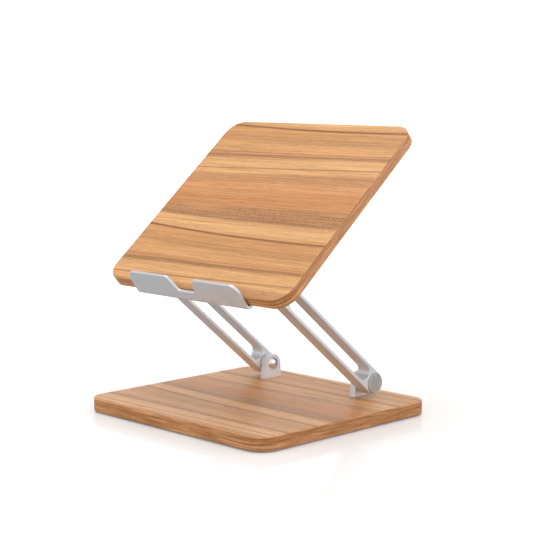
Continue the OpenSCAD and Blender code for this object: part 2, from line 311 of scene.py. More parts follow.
@dataclass(frozen=True)
class StreakyWood(Finish):
    """Lacquered veneer with streaks that run from left to right and come again across the board.

    The edges are banded with the same wood, its grain running round the board.
    """

    origin: tuple[float, float, float] = (0.0, 0.0, 0.0)
    slope: float = 0.0
    repeat: float = 0.1454
    dark_line: float = -0.0446
    roughness: float = 0.34
    lacquer: Colour = (1.03, 0.92, 0.77, 1.0)
    pore_tone: Colour = colour(128, 84, 54)
    pore_strength: float = 0.42
    wash_tone: Colour = colour(196, 146, 100)
    red_tone: Colour = colour(206, 138, 90)
    red_zone: tuple[float, float, float] = (0.2, 0.5, 0.08)
    figure_tone: Colour = colour(132, 92, 62)
    figure_zone: tuple[float, float, float] = (0.13, 0.27, 0.03)

    # Tilts from the face at which the banding gives way to the face's streaks, as cosines
    rim = (0.55, 0.8)
    # Shares of a repeat at which the streaks bow with the dark line, not with the middle
    near_line = (0.3, 0.85)
    # The bow beside the dark line is a parabola about an X, and elsewhere a slant about another
    parabola, slant = (0.067, 0.19), (-0.075, 0.032)
    # Noise at or below the first value leaves a fibre dark, and above the second one light
    fibre_contrast, pore_contrast = (0.32, 0.68), (0.56, 0.72)
    slow_bow, quick_bow = Grain((5.0, 14.0, 1.0)), Grain((22.0, 90.0, 1.0))
    streak = Grain((8.0, 700.0, 700.0), 4.0, 0.66)
    wash = Grain((4.0, 330.0, 1.0), 4.0, 0.62)
    red = Grain((7.0, 120.0, 1.0), 3.0)
    fleck, fleck_row = Grain((320.0, 760.0, 1.0), 2.0, 0.7), Grain((12.0, 420.0, 1.0), 1.0)
    face_fibre = Grain((24.0, 1500.0, 1500.0), 4.0, 0.65)
    side_fibre = Grain((60.0, 60.0, 1700.0), 4.0, 0.65)
    face_pore = Grain((70.0, 1050.0, 1050.0), 2.0, 0.6)
    side_pore = Grain((80.0, 80.0, 1050.0), 2.0, 0.6)
    band_fine, band_broad = Grain((26.0, 26.0, 620.0), 4.0, 0.6), Grain((9.0, 9.0, 160.0))

    # The edge band, from its darkest streaks to its lightest
    band = stops(
        (0.34, 152, 100, 62), (0.46, 190, 136, 92), (0.55, 214, 158, 112), (0.66, 238, 190, 144),
    )
    # Along one repeat, from the thin dark line to the same line again
    streaks = stops(
        (0.0, 128, 84, 54), (0.005, 150, 104, 68), (0.011, 228, 180, 130), (0.06, 240, 196, 146),
        (0.118, 238, 190, 140), (0.134, 190, 146, 108), (0.2, 196, 148, 108), (0.262, 210, 156, 110),
        (0.33, 214, 154, 104), (0.4, 220, 165, 116), (0.47, 226, 170, 124), (0.5, 204, 156, 114),
        (0.552, 206, 158, 116), (0.572, 240, 192, 142), (0.604, 236, 188, 138),
        (0.6125, 172, 124, 86), (0.622, 236, 190, 142), (0.7, 234, 188, 138), (0.722, 182, 138, 100),
        (0.738, 172, 128, 92), (0.752, 222, 172, 124), (0.762, 196, 140, 100), (0.772, 226, 176, 128),
        (0.84, 224, 176, 126), (0.87, 206, 158, 112), (0.904, 210, 160, 114), (0.91, 192, 144, 102),
        (0.918, 216, 166, 118), (0.985, 218, 166, 116), (0.995, 160, 112, 76), (1.0, 128, 84, 54),
    )

    def paint(self, graph: Graph) -> dict[str, Value]:
        """Streaks on the faces, banding on the edges, and the pores of the wood in both.

        Args:
            graph: The tree.

        Returns:
            The values and wires of the Principled shader's inputs.
        """
        sockets = {
            "Vector": self.place(graph),
            "Location": self.origin,
            "Rotation": (self.slope, 0.0, 0.0),
        }
        place = graph.split(graph.add("ShaderNodeMapping", {"vector_type": "TEXTURE"}, sockets))
        normal = graph.add("ShaderNodeNewGeometry", output="Normal")
        out = (0.0, -math.sin(self.slope), math.cos(self.slope))
        on_face = abs(graph.along(normal, out)).smooth(*self.rim)
        fibre = self._either(graph, on_face, self.face_fibre, self.side_fibre, place)
        pores = self._either(graph, on_face, self.face_pore, self.side_pore, place)
        pores = pores.smooth(*self.pore_contrast)
        rings = self.band_fine.on(graph, *place) * 0.7 + self.band_broad.on(graph, *place) * 0.3
        tone = graph.mix(on_face, graph.ramp(self.band, rings), self._face(graph, *place[:2]))
        streak = self.streak.on(graph, *place).smooth(*self.fibre_contrast)
        shade = 0.7 + streak * 0.3 + fibre.smooth(*self.fibre_contrast) * 0.2
        tone = graph.mix(1.0, tone, graph.join(shade, shade, shade), "MULTIPLY")
        tone = graph.mix(1.0, tone, self.lacquer, "MULTIPLY")
        return {
            "Base Color": graph.mix(pores * self.pore_strength, tone, self.pore_tone),
            "Roughness": self.roughness + fibre * 0.1 - 0.05 + pores * 0.15,
            "Normal": graph.bump(fibre - pores, 0.25, 0.05 * MM),
            "Specular IOR Level": 0.35,
        }

    @staticmethod
    def _either(
        graph: Graph, on_face: Wire, face: Grain, side: Grain, place: Sequence[Wire]
    ) -> Wire:
        """One noise on the faces, along X, and another on the edges, along the sides.

        Args:
            graph: The tree.
            on_face: 1 on a face and 0 on an edge.
            face: The noise of the faces.
            side: The noise of the edges.
            place: The three parts of the place.

        Returns:
            The noise.
        """
        return face.on(graph, *place) * on_face + side.on(graph, *place) * (1.0 - on_face)

    def _face(self, graph: Graph, x: Wire, y: Wire) -> Wire:
        """The streaks of a face: straight bands that bow a little, differently from band to band.

        The last part of each noise's place only tells it from the other noises.

        Args:
            graph: The tree.
            x: The place from left to right.
            y: The place up the board.

        Returns:
            The colour.
        """
        slow = self.slow_bow.on(graph, x, y, 0.3) - 0.5
        quick = self.quick_bow.on(graph, x, y, 3.7) - 0.5
        share = ((y - self.dark_line) / self.repeat) % 1.0
        near_line = (abs(share - 0.5) * 2.0).smooth(*self.near_line)
        dip = (x - self.parabola[0]) ** 2.0 * self.parabola[1]
        rise = (x - self.slant[0]) * self.slant[1]
        bow = dip * near_line + rise * (1.0 - near_line)
        moved = (y - self.dark_line - bow + slow * 0.9 * MM + quick * 0.5 * MM) / self.repeat
        tone = graph.ramp(self.streaks, moved % 1.0)
        wash = (self.wash.on(graph, x, y, 1.9) - 0.42) * 1.6
        tone = graph.mix(wash, tone, self.wash_tone)
        red = self.red.on(graph, x, y, 8.3).smooth(0.52, 0.72) * self._within(share, *self.red_zone)
        tone = graph.mix(red * 0.45, tone, self.red_tone)
        fleck = self.fleck.on(graph, x, y, 5.1).smooth(0.46, 0.6)
        row = self.fleck_row.on(graph, x, y, 2.2).smooth(0.36, 0.6)
        figured = fleck * row * self._within(share, *self.figure_zone)
        strength = x.smooth(-0.13, 0.03) * 0.35 + 0.45
        return graph.mix(figured * strength, tone, self.figure_tone)

    @staticmethod
    def _within(share: Wire, low: float, high: float, soft: float) -> Wire:
        """1 between two places of the repeat, with soft ends."""
        return share.smooth(low - soft, low + soft) * (1.0 - share.smooth(high - soft, high + soft))


@dataclass(frozen=True)
class SatinAluminium(Finish):
    """Bead-blasted aluminium with a satin anodised skin."""

    tone: Colour = colour(231, 233, 237)
    shade: Colour = colour(220, 223, 228)
    metal: float = 0.5
    roughness: float = 0.36

    def paint(self, graph: Graph) -> dict[str, Value]:
        """Even metal with the fine grain that blasting leaves."""
        place = self.place(graph)
        grain = graph.noise(place, 4200.0, 2.0, 0.6)
        cloud = graph.noise(place, 60.0, 2.0)
        return {
            "Base Color": graph.mix(cloud, self.shade, self.tone),
            "Metallic": self.metal,
            "Roughness": self.roughness + (grain - 0.5) * 0.12 + (cloud - 0.5) * 0.05,
            "Normal": graph.bump(grain, 0.12, 0.02 * MM),
        }


@dataclass(frozen=True)
class BrushedDisc(Finish):
    """Grey aluminium, brushed in one direction across the disc."""

    tone: Colour = colour(214, 213, 212)
    groove: Colour = colour(158, 157, 156)

    def paint(self, graph: Graph) -> dict[str, Value]:
        """Fine upright brush lines."""
        x, y, z = graph.split(self.place(graph))
        line = Grain((900.0, 1500.0, 60.0), 3.0, 0.6).on(graph, x, y, z)
        return {
            "Base Color": graph.mix(line.smooth(0.35, 0.65), self.groove, self.tone),
            "Metallic": 1.0,
            "Roughness": 0.3 + line * 0.22,
            "Normal": graph.bump(line, 0.25, 0.03 * MM),
        }


@dataclass(frozen=True)
class PolishedChrome(Finish):
    """Bright chrome plate with faint polishing marks."""

    def paint(self, graph: Graph) -> dict[str, Value]:
        """A mirror, very slightly clouded."""
        marks = graph.noise(self.place(graph), 900.0, 3.0)
        return {
            "Base Color": colour(232, 233, 236),
            "Metallic": 1.0,
            "Roughness": 0.06 + marks * 0.06,
        }


@dataclass(frozen=True)
class PlatedSteel(Finish):
    """Plated or tempered steel of small hardware, with a mottled skin."""

    light: Colour = colour(205, 207, 210)
    dark: Colour = colour(160, 164, 170)
    roughness: float = 0.28

    def paint(self, graph: Graph) -> dict[str, Value]:
        """Mottled metal with fine turning marks."""
        mottle = graph.noise(self.place(graph), 700.0, 3.0, 0.6)
        return {
            "Base Color": graph.mix(mottle, self.dark, self.light),
            "Metallic": 1.0,
            "Roughness": self.roughness + mottle * 0.15,
            "Normal": graph.bump(mottle, 0.1, 0.02 * MM),
        }


@dataclass(frozen=True)
class Moulded(Finish):
    """Nylon or rubber as it comes out of a mould."""

    tone: Colour = colour(226, 222, 208)
    worn: Colour = colour(205, 200, 184)
    roughness: float = 0.5

    def paint(self, graph: Graph) -> dict[str, Value]:
        """A matt skin with a fine leathery grain."""
        grain = graph.noise(self.place(graph), 1800.0, 3.0, 0.6)
        return {
            "Base Color": graph.mix(grain, self.worn, self.tone),
            "Roughness": self.roughness + grain * 0.15,
            "Normal": graph.bump(grain, 0.3, 0.03 * MM),
        }


SATIN = SatinAluminium("satin_anodised", Fit.ALUMINIUM)
CAP_GREY = BrushedDisc("brushed_grey", Fit.CAP)
CHROME = PolishedChrome("mirror_chrome", Fit.CHROME)
ZINC = PlatedSteel("bright_zinc", Fit.ZINC)
SPRING = PlatedSteel("tempered_spring", Fit.SPRING, colour(120, 121, 125), colour(84, 85, 90), 0.35)
NYLON = Moulded("natural_nylon", Fit.NYLON)
RUBBER = Moulded("black_rubber", Fit.RUBBER, colour(48, 48, 48), colour(34, 34, 35), 0.65)


# ---------------------------------------------------------------- frame


def identity() -> Matrix:
    """The frame of the whole stand."""
    return Matrix.Identity(4)


def corners(points: Sequence[Vector]) -> tuple[Vector, Vector]:
    """The lowest and the highest corner of the box round some points."""
    columns = list(zip(*points))
    return Vector(map(min, columns)), Vector(map(max, columns))


def extent(node: str, into: Matrix | None = None) -> tuple[Vector, Vector]:
    """The lowest and the highest corner of a CAD node, in the row frame or in another.

    Args:
        node: The node's name.
        into: What turns the row frame into the other one.
    """
    into = into or identity()
    return corners([into @ vertex.co for vertex in frame["nodes"][node].data.vertices])


def feet_of_solids(node: str, into: Matrix) -> list[Vector]:
    """Where each separate solid of a CAD node stands, in another frame.

    Args:
        node: The node's name, such as a group of screws.
        into: What turns the row frame into the other one.

    Returns:
        For each solid the middle of its lowest end, from left to right.
    """
    work = bmesh.new()
    work.from_mesh(frame["nodes"][node].data)
    bmesh.ops.remove_doubles(work, verts=work.verts, dist=TOUCHING)
    waiting = set(work.verts)
    feet = []
    while waiting:
        solid = [waiting.pop()]
        for vertex in solid:
            for edge in vertex.link_edges:
                other = edge.other_vert(vertex)
                if other in waiting:
                    waiting.remove(other)
                    solid.append(other)
        low, high = corners([into @ vertex.co for vertex in solid])
        feet.append(Vector(((low.x + high.x) / 2, (low.y + high.y) / 2, low.z)))
    work.free()
    return sorted(feet, key=lambda foot: (round(foot.x, 4), foot.y))


@dataclass(frozen=True)
class Layout:
    """The places that every sub-assembly is built on."""

    lower_pivot: Vector
    upper_pivot: Vector
    lift: float
    slope: float
    base: Matrix
    board: Matrix

    @classmethod
    def read(cls) -> "Layout":
        """Works the places out from the frame's joints, mounts and boxes."""
        joints = {joint["name"]: Vector(joint["pos_m"]) for joint in frame["joints"]}
        lower, upper = joints["lower_hinge"], joints["board_tilt"]
        mounts = {mount["name"]: mount for mount in frame["record"]["mounts"]}
        out_of_face = Vector(mounts["tablet_face"]["axis"])
        slope = math.atan2(-out_of_face.y, out_of_face.z)
        turn = Matrix.Rotation(slope, 4, "X")
        face = Vector(mounts["tablet_face"]["pos_m"])
        low, high = extent("tablet_board", turn.inverted())
        underside = face - (high.z - low.z) * (turn @ Vector((0, 0, 1)))
        return cls(
            lower_pivot=lower,
            upper_pivot=upper,
            lift=math.atan2(upper.z - lower.z, lower.y - upper.y),
            slope=slope,
            base=Matrix.Translation((0, 0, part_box("base_board")[0].z)),
            board=Matrix.Translation(underside) @ turn,
        )

    @staticmethod
    def side_view(pivot: Vector, start: float, along: float, side: Side) -> Matrix:
        """A side view's frame.

        Args:
            pivot: The point that it turns about.
            start: Its distance from the stand's middle.
            along: The angle of its X axis above +Y, in radians.
            side: The side of the stand that it is on.

        Returns:
            What turns its coordinates into the row frame.
        """
        ahead = (0.0, math.cos(along), math.sin(along))
        up = (0.0, -math.sin(along), math.cos(along))
        out = (float(side.value), 0.0, 0.0)
        turn = Matrix((ahead, up, out)).transposed().to_4x4()
        return Matrix.Translation((side.value * start, pivot.y, pivot.z)) @ turn


# ---------------------------------------------------------------- outlines


def arc(centre: Point, radius: float, start: float, end: float, steps: int = 12) -> list[Point]:
    """Points along an arc, both ends included.

    Args:
        centre: The arc's centre.
        radius: Its radius.
        start: The angle it starts at, in radians.
        end: The angle it ends at.
        steps: How many chords it has.

    Returns:
        The points, one more than the steps.
    """
    angles = [start + (end - start) * i / steps for i in range(steps + 1)]
    return [(centre[0] + radius * math.cos(a), centre[1] + radius * math.sin(a)) for a in angles]


def circle(centre: Point, radius: float, steps: int = 64) -> list[Point]:
    """Points round a circle."""
    return arc(centre, radius, 0.0, 2 * math.pi, steps)[:-1]


def stadium(start: float, end: float, width: float, steps: int = 32) -> list[Point]:
    """The outline of a bar with round ends, between two points on the X axis.

    Args:
        start: Where its left end has its centre.
        end: Where its right end has its centre.
        width: Its width.
        steps: How many chords each end has.

    Returns:
        The points, counter-clockwise.
    """
    half = math.pi / 2
    right = arc((end, 0.0), width / 2, -half, half, steps)
    return right + arc((start, 0.0), width / 2, half, 3 * half, steps)


def rounded_box(low: Point, high: Point, radius: float, steps: int) -> list[Point]:
    """The outline of a box with round corners.

    Args:
        low: Its lowest corner.
        high: Its highest corner.
        radius: The radius of its corners.
        steps: How many chords each corner has.

    Returns:
        The points, counter-clockwise.
    """
    centres = [(high[0], low[1], 1, -1), high + (1, 1), (low[0], high[1], -1, 1), low + (-1, -1)]
    outline = []
    for i, (x, y, right, up) in enumerate(centres):
        start = (i - 1) * math.pi / 2
        outline += arc((x - radius * right, y - radius * up), radius, start, start + math.pi / 2, steps)
    return outline


def moved_in(outline: Sequence[Point], distance: float) -> list[Point]:
    """An outline moved inwards by a distance.

    Args:
        outline: The points, counter-clockwise.
        distance: How far each side moves in; a negative one moves it out.

    Returns:
        As many points as the outline has.
    """
    moved = []
    for i, (x, y) in enumerate(outline):
        before, after = outline[i - 1], outline[(i + 1) % len(outline)]
        first = Vector((x - before[0], y - before[1])).normalized()
        second = Vector((after[0] - x, after[1] - y)).normalized()
        way = Vector((-first.y - second.y, first.x + second.x))
        reach = distance * 2 / way.length_squared
        moved.append((x + way.x * reach, y + way.y * reach))
    return moved


# ---------------------------------------------------------------- workpieces


@dataclass(frozen=True)
class Bore:
    """A turned hole through a slab: its centre and its (radius, height) steps from Z = 0 up."""

    centre: Point
    steps: tuple[tuple[float, float], ...]


class Workpiece:
    """A closed shell under construction, in its own frame."""

    rounding_steps = 4
    bore_sides = 48

    def __init__(self) -> None:
        """Starts with nothing."""
        self.mesh = bmesh.new()

    def ring(self, outline: Iterable[Point], height: float) -> Ring:
        """Puts an outline's points at a height."""
        return [self.mesh.verts.new((x, y, height)) for x, y in outline]

    def wall(self, lower: Ring, upper: Ring) -> None:
        """Joins two rings that have as many points."""
        for i in range(len(lower)):
            j = (i + 1) % len(lower)
            self.mesh.faces.new((lower[i], lower[j], upper[j], upper[i]))

    def skin(self, outlines: Iterable[tuple[Iterable[Point], float]]) -> list[Ring]:
        """Joins outlines at different heights by walls.

        Args:
            outlines: The (outline, height) pairs, each with as many points.

        Returns:
            The outlines' rings.
        """
        rings = [self.ring(outline, height) for outline, height in outlines]
        for lower, upper in zip(rings, rings[1:]):
            self.wall(lower, upper)
        return rings

    def flat(self, *rings: Ring) -> None:
        """Closes a flat face whose outline is the first ring, with the others as its holes."""
        edges = []
        for ring in rings:
            for i, vertex in enumerate(ring):
                after = ring[(i + 1) % len(ring)]
                edge = self.mesh.edges.get((vertex, after)) or self.mesh.edges.new((vertex, after))
                edges.append(edge)
        bmesh.ops.triangle_fill(self.mesh, use_beauty=True, use_dissolve=False, edges=edges)

    def rounded_wall(
        self, outline: Sequence[Point], thickness: float, rounding: float, inwards: int
    ) -> tuple[Ring, Ring]:
        """Builds a wall whose two edges are rounded.

        Args:
            outline: The wall's outline at half height.
            thickness: Its height.
            rounding: The radius of its edges.
            inwards: 1 for an outer wall, -1 for the wall of a cut-out.

        Returns:
            The rings that bound the lower and the upper face.
        """
        quarter = [math.pi / 2 * i / self.rounding_steps for i in range(self.rounding_steps + 1)]
        inset = [rounding * (1 - math.sin(angle)) for angle in quarter]
        height = [rounding * (1 - math.cos(angle)) for angle in quarter]
        lower = list(zip(inset, height))
        upper = [(i, thickness - h) for i, h in reversed(lower)]
        rings = self.skin((moved_in(outline, inwards * i), h) for i, h in lower + upper)
        return rings[0], rings[-1]

    def bore(self, hole: Bore) -> tuple[Ring, Ring]:
        """Builds a bore's walls.

        Args:
            hole: The bore.

        Returns:
            The rings at its two ends.
        """
        walls = [(circle(hole.centre, radius, self.bore_sides), height) for radius, height in hole.steps]
        rings = self.skin(walls)
        return rings[0], rings[-1]

    def slab(
        self,
        outline: Sequence[Point],
        thickness: float,
        rounding: float,
        cutouts: Sequence[Sequence[Point]] = (),
        bores: Sequence[Bore] = (),
    ) -> bpy.types.Mesh:
        """Builds a slab on Z = 0 with rounded edges, and ends the work.

        Args:
            outline: Its outline, counter-clockwise.
            thickness: Its thickness.
            rounding: The radius of its edges and of its cut-outs' edges.
            cutouts: The outlines of openings, counter-clockwise too.
            bores: Its turned holes.

        Returns:
            The closed mesh.
        """
        ends = [self.rounded_wall(outline, thickness, rounding, 1)]
        ends += [self.rounded_wall(cutout, thickness, rounding, -1) for cutout in cutouts]
        ends += [self.bore(hole) for hole in bores]
        self.flat(*[lower for lower, _ in ends])
        self.flat(*[upper for _, upper in ends])
        return self.done()

    def turned(self, profile: Sequence[Point], sides: int = 72) -> bpy.types.Mesh:
        """Turns a profile round the Z axis, and ends the work.

        Args:
            profile: The (radius, height) points, of which the first and last are on the axis.
            sides: How many sides a circle has.

        Returns:
            The closed mesh.
        """
        low, high = (self.mesh.verts.new((0, 0, height)) for _, height in (profile[0], profile[-1]))
        middle = profile[1:-1]
        rings = self.skin((circle((0.0, 0.0), radius, sides), height) for radius, height in middle)
        for i in range(sides):
            j = (i + 1) % sides
            self.mesh.faces.new((low, rings[0][j], rings[0][i]))
            self.mesh.faces.new((high, rings[-1][i], rings[-1][j]))
        return self.done()

    def done(self) -> bpy.types.Mesh:
        """The shell as a mesh, still in its own frame."""
        mesh = bpy.data.meshes.new("workpiece")
        self.mesh.to_mesh(mesh)
        self.mesh.free()
        return mesh


def plain_mesh(source: bpy.types.Object) -> bpy.types.Mesh:
    """What an object's modifiers make of its mesh; the object is then removed.

    Args:
        source: The object, in the scene.

    Returns:
        The plain mesh.
    """
    bpy.context.view_layer.update()
    graph = bpy.context.evaluated_depsgraph_get()
    mesh = bpy.data.meshes.new_from_object(source.evaluated_get(graph), depsgraph=graph)
    source.modifiers.clear()
    bpy.data.objects.remove(source)
    return mesh


def in_scene(name: str, data: bpy.types.ID) -> bpy.types.Object:
    """A new object in the scene.

    Args:
        name: Its name.
        data: Its mesh, light or camera.

    Returns:
        The object.
    """
    made = bpy.data.objects.new(name, data)
    bpy.context.scene.collection.objects.link(made)
    return made


def united(first: bpy.types.Mesh, second: bpy.types.Mesh) -> bpy.types.Mesh:
    """Two overlapping shells as one.

    Args:
        first: One closed mesh.
        second: The other one.

    Returns:
        The mesh of both together.
    """
    for mesh in (first, second):
        face_outwards(mesh)
    one, other = in_scene("helper", first), in_scene("helper", second)
    union = one.modifiers.new("Union", "BOOLEAN")
    union.operation = "UNION"
    union.solver = "EXACT"
    union.object = other
    mesh = plain_mesh(one)
    bpy.data.objects.remove(other)
    return mesh


def face_outwards(mesh: bpy.types.Mesh) -> None:
    """Merges a closed mesh's doubles and points its faces outwards.

    Args:
        mesh: The mesh, which is changed.
    """
    work = bmesh.new()
    work.from_mesh(mesh)
    bmesh.ops.remove_doubles(work, verts=work.verts, dist=TOUCHING)
    bmesh.ops.recalc_face_normals(work, faces=work.faces)
    work.to_mesh(mesh)
    work.free()


@dataclass(frozen=True)
class Piece:
    """A finished piece's name, the body it rides on and the CAD nodes that it stands for."""

    name: str
    body: str
    nodes: tuple[str, ...]
    crease: float = math.radians(32)

    def make(self, mesh: bpy.types.Mesh, place: Matrix, finish: Finish) -> bpy.types.Object:
        """Turns a mesh into the finished piece.

        Args:
            mesh: The closed mesh in its own frame.
            place: What turns that frame into the row frame.
            finish: The piece's finish.

        Returns:
            The piece, at the origin, with its place in its mesh.
        """
        mesh.transform(place)
        face_outwards(mesh)
        mesh.polygons.foreach_set("use_smooth", [True] * len(mesh.polygons))
        mesh.set_sharp_from_angle(angle=self.crease)
        rough = in_scene("helper", mesh)
        normals = rough.modifiers.new("Normals", "WEIGHTED_NORMAL")
        normals.keep_sharp = True
        made = in_scene(self.name, plain_mesh(rough))
        made.data.name = self.name
        made.data.materials.clear()
        made.data.materials.append(finish.material())
        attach(made, self.body)
        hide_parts(*self.nodes)
        log.info("%s: %d faces on %s, %s", self.name, len(made.data.polygons), self.body, finish.name)
        return made


# ---------------------------------------------------------------- patterns in geometry nodes


class Pattern(Graph):
    """A geometry tree that builds one shape, or that shape at each point it is given."""

    def __init__(self, name: str, sizes: Iterable[str]) -> None:
        """Starts a tree.

        Args:
            name: The tree's name.
            sizes: The names of its number inputs.
        """
        tree = bpy.data.node_groups.new(name, "GeometryNodeTree")
        tree.interface.new_socket("Geometry", in_out="INPUT", socket_type="NodeSocketGeometry")
        for size in sizes:
            tree.interface.new_socket(size, in_out="INPUT", socket_type="NodeSocketFloat")
        tree.interface.new_socket("Finish", in_out="INPUT", socket_type="NodeSocketMaterial")
        tree.interface.new_socket("Geometry", in_out="OUTPUT", socket_type="NodeSocketGeometry")
        super().__init__(tree)
        self.inputs = self.add("NodeGroupInput")

    def size(self, name: str) -> Wire:
        """One of the tree's number inputs."""
        return self.inputs.output(name)

    def lifted(self, shape: Wire, height: Value) -> Wire:
        """A shape moved up."""
        move = self.join(0.0, 0.0, height)
        return self.add("GeometryNodeTransform", None, {"Geometry": shape, "Translation": move})

    def joined(self, *shapes: Wire) -> Wire:
        """Several shapes as one geometry; shells that touch become one."""
        both = self.add("GeometryNodeJoinGeometry", None, {0: list(shapes)})
        return self.add("GeometryNodeMergeByDistance", None, {"Geometry": both, "Distance": TOUCHING})

    def disc(self, radius: Value, height: Value, sides: int, filled: bool = True) -> Wire:
        """A round face or, when it isn't filled, the circle round it.

        Args:
            radius: Its radius.
            height: Its height above the origin.
            sides: How many sides it has.
            filled: Whether it is a face.

        Returns:
            The geometry.
        """
        settings = {"fill_type": "NGON" if filled else "NONE"}
        sockets = {"Vertices": sides, "Radius": radius}
        return self.lifted(self.add("GeometryNodeMeshCircle", settings, sockets), height)

    def sleeve(self, steps: Sequence[tuple[Value, Value]], sides: int) -> list[Wire]:
        """The open walls between (radius, height) steps, from the lowest up.

        Args:
            steps: The steps.
            sides: How many sides each wall has.

        Returns:
            One geometry for each wall.
        """
        walls = []
        for (r0, z0), (r1, z1) in zip(steps, steps[1:]):
            sockets = {"Vertices": sides, "Radius Bottom": r0, "Radius Top": r1, "Depth": z1 - z0}
            cone = self.add("GeometryNodeMeshCone", {"fill_type": "NONE"}, sockets)
            walls.append(self.lifted(cone, z0))
        return walls

    def turned(self, steps: Sequence[tuple[Value, Value]], sides: int) -> Wire:
        """A closed turned shape from (radius, height) steps."""
        ends = [self.disc(radius, height, sides) for radius, height in (steps[0], steps[-1])]
        return self.joined(*self.sleeve(steps, sides), *ends)

    def at_points(self, shape: Wire) -> Wire:
        """The shape at each point that the tree is given."""
        sockets = {"Points": self.inputs.output("Geometry"), "Instance": shape}
        spread = self.add("GeometryNodeInstanceOnPoints", None, sockets)
        return self.add("GeometryNodeRealizeInstances", None, {"Geometry": spread})

    def close(self, shape: Wire) -> None:
        """Ends the tree: real geometry, in its finish.

        Args:
            shape: What the tree has built.
        """
        real = self.add("GeometryNodeRealizeInstances", None, {"Geometry": shape})
        sockets = {"Geometry": real, "Material": self.inputs.output("Finish")}
        dressed = self.add("GeometryNodeSetMaterial", None, sockets)
        self.add("NodeGroupOutput", None, {0: dressed})

    def run(
        self, points: Sequence[Vector], sizes: dict[str, float], finish: Finish
    ) -> bpy.types.Mesh:
        """Builds the pattern.

        Args:
            points: The points that the shape stands on.
            sizes: The number inputs, by name.
            finish: The finish that the tree sets.

        Returns:
            The plain mesh.
        """
        mesh = bpy.data.meshes.new("points")
        mesh.from_pydata([tuple(point) for point in points], [], [])
        helper = in_scene("helper", mesh)
        modifier = helper.modifiers.new(self.tree.name, "NODES")
        modifier.node_group = self.tree
        values = {**sizes, "Finish": finish.material()}
        for item in self.tree.interface.items_tree:
            if item.in_out == "INPUT" and item.name in values:
                modifier[item.identifier] = values[item.name]
        return plain_mesh(helper)


class ScrewPattern(Pattern):
    """Countersunk screws with a hexagon socket; each point is the middle of a head's flat face."""

    sides = 40

    def __init__(self) -> None:
        """Builds the tree."""
        super().__init__("countersunk_screws", ("Head", "Shank", "Length", "Socket", "Depth"))
        head, shank = self.size("Head") / 2.0, self.size("Shank") / 2.0
        length, socket, depth = self.size("Length"), self.size("Socket") / 2.0, self.size("Depth")
        rim = head * 0.06
        steps = [
            (head - rim, 0.0),
            (head, rim),
            (shank, head - shank),
            (shank, length - shank),
            (shank / 4.0, length),
        ]
        outer = self.disc(head - rim, 0.0, self.sides, filled=False)
        inner = self.disc(socket, 0.0, 6, filled=False)
        both = self.add("GeometryNodeJoinGeometry", None, {0: [outer, inner]})
        loops = self.add("GeometryNodeMeshToCurve", None, {"Mesh": both})
        flat = self.add("GeometryNodeFillCurve", None, {"Curve": loops})
        pocket = self.sleeve([(socket, 0.0), (socket, depth)], 6)
        floor = self.disc(socket, depth, 6)
        point = self.disc(shank / 4.0, length, self.sides)
        screw = self.joined(flat, *pocket, floor, *self.sleeve(steps, self.sides), point)
        self.close(self.at_points(screw))


class FootPattern(Pattern):
    """Round anti-slip feet; each point is the middle of a foot's lower face."""

    def __init__(self) -> None:
        """Builds the tree: a pad with a rounded lower edge and a shallow ring groove."""
        super().__init__("anti_slip_feet", ("Radius", "Height", "Edge"))
        radius, height, edge = self.size("Radius"), self.size("Height"), self.size("Edge")
        turns = [math.pi / 2 * i / 4 for i in range(5)]
        corner = [(radius - edge * (1 - math.sin(a)), edge * (1 - math.cos(a))) for a in turns]
        groove = [
            (radius * 0.62, 0.0),
            (radius * 0.66, edge * 0.7),
            (radius * 0.72, edge * 0.7),
            (radius * 0.76, 0.0),
        ]
        self.close(self.at_points(self.turned([*groove, *corner, (radius, height)], 48)))


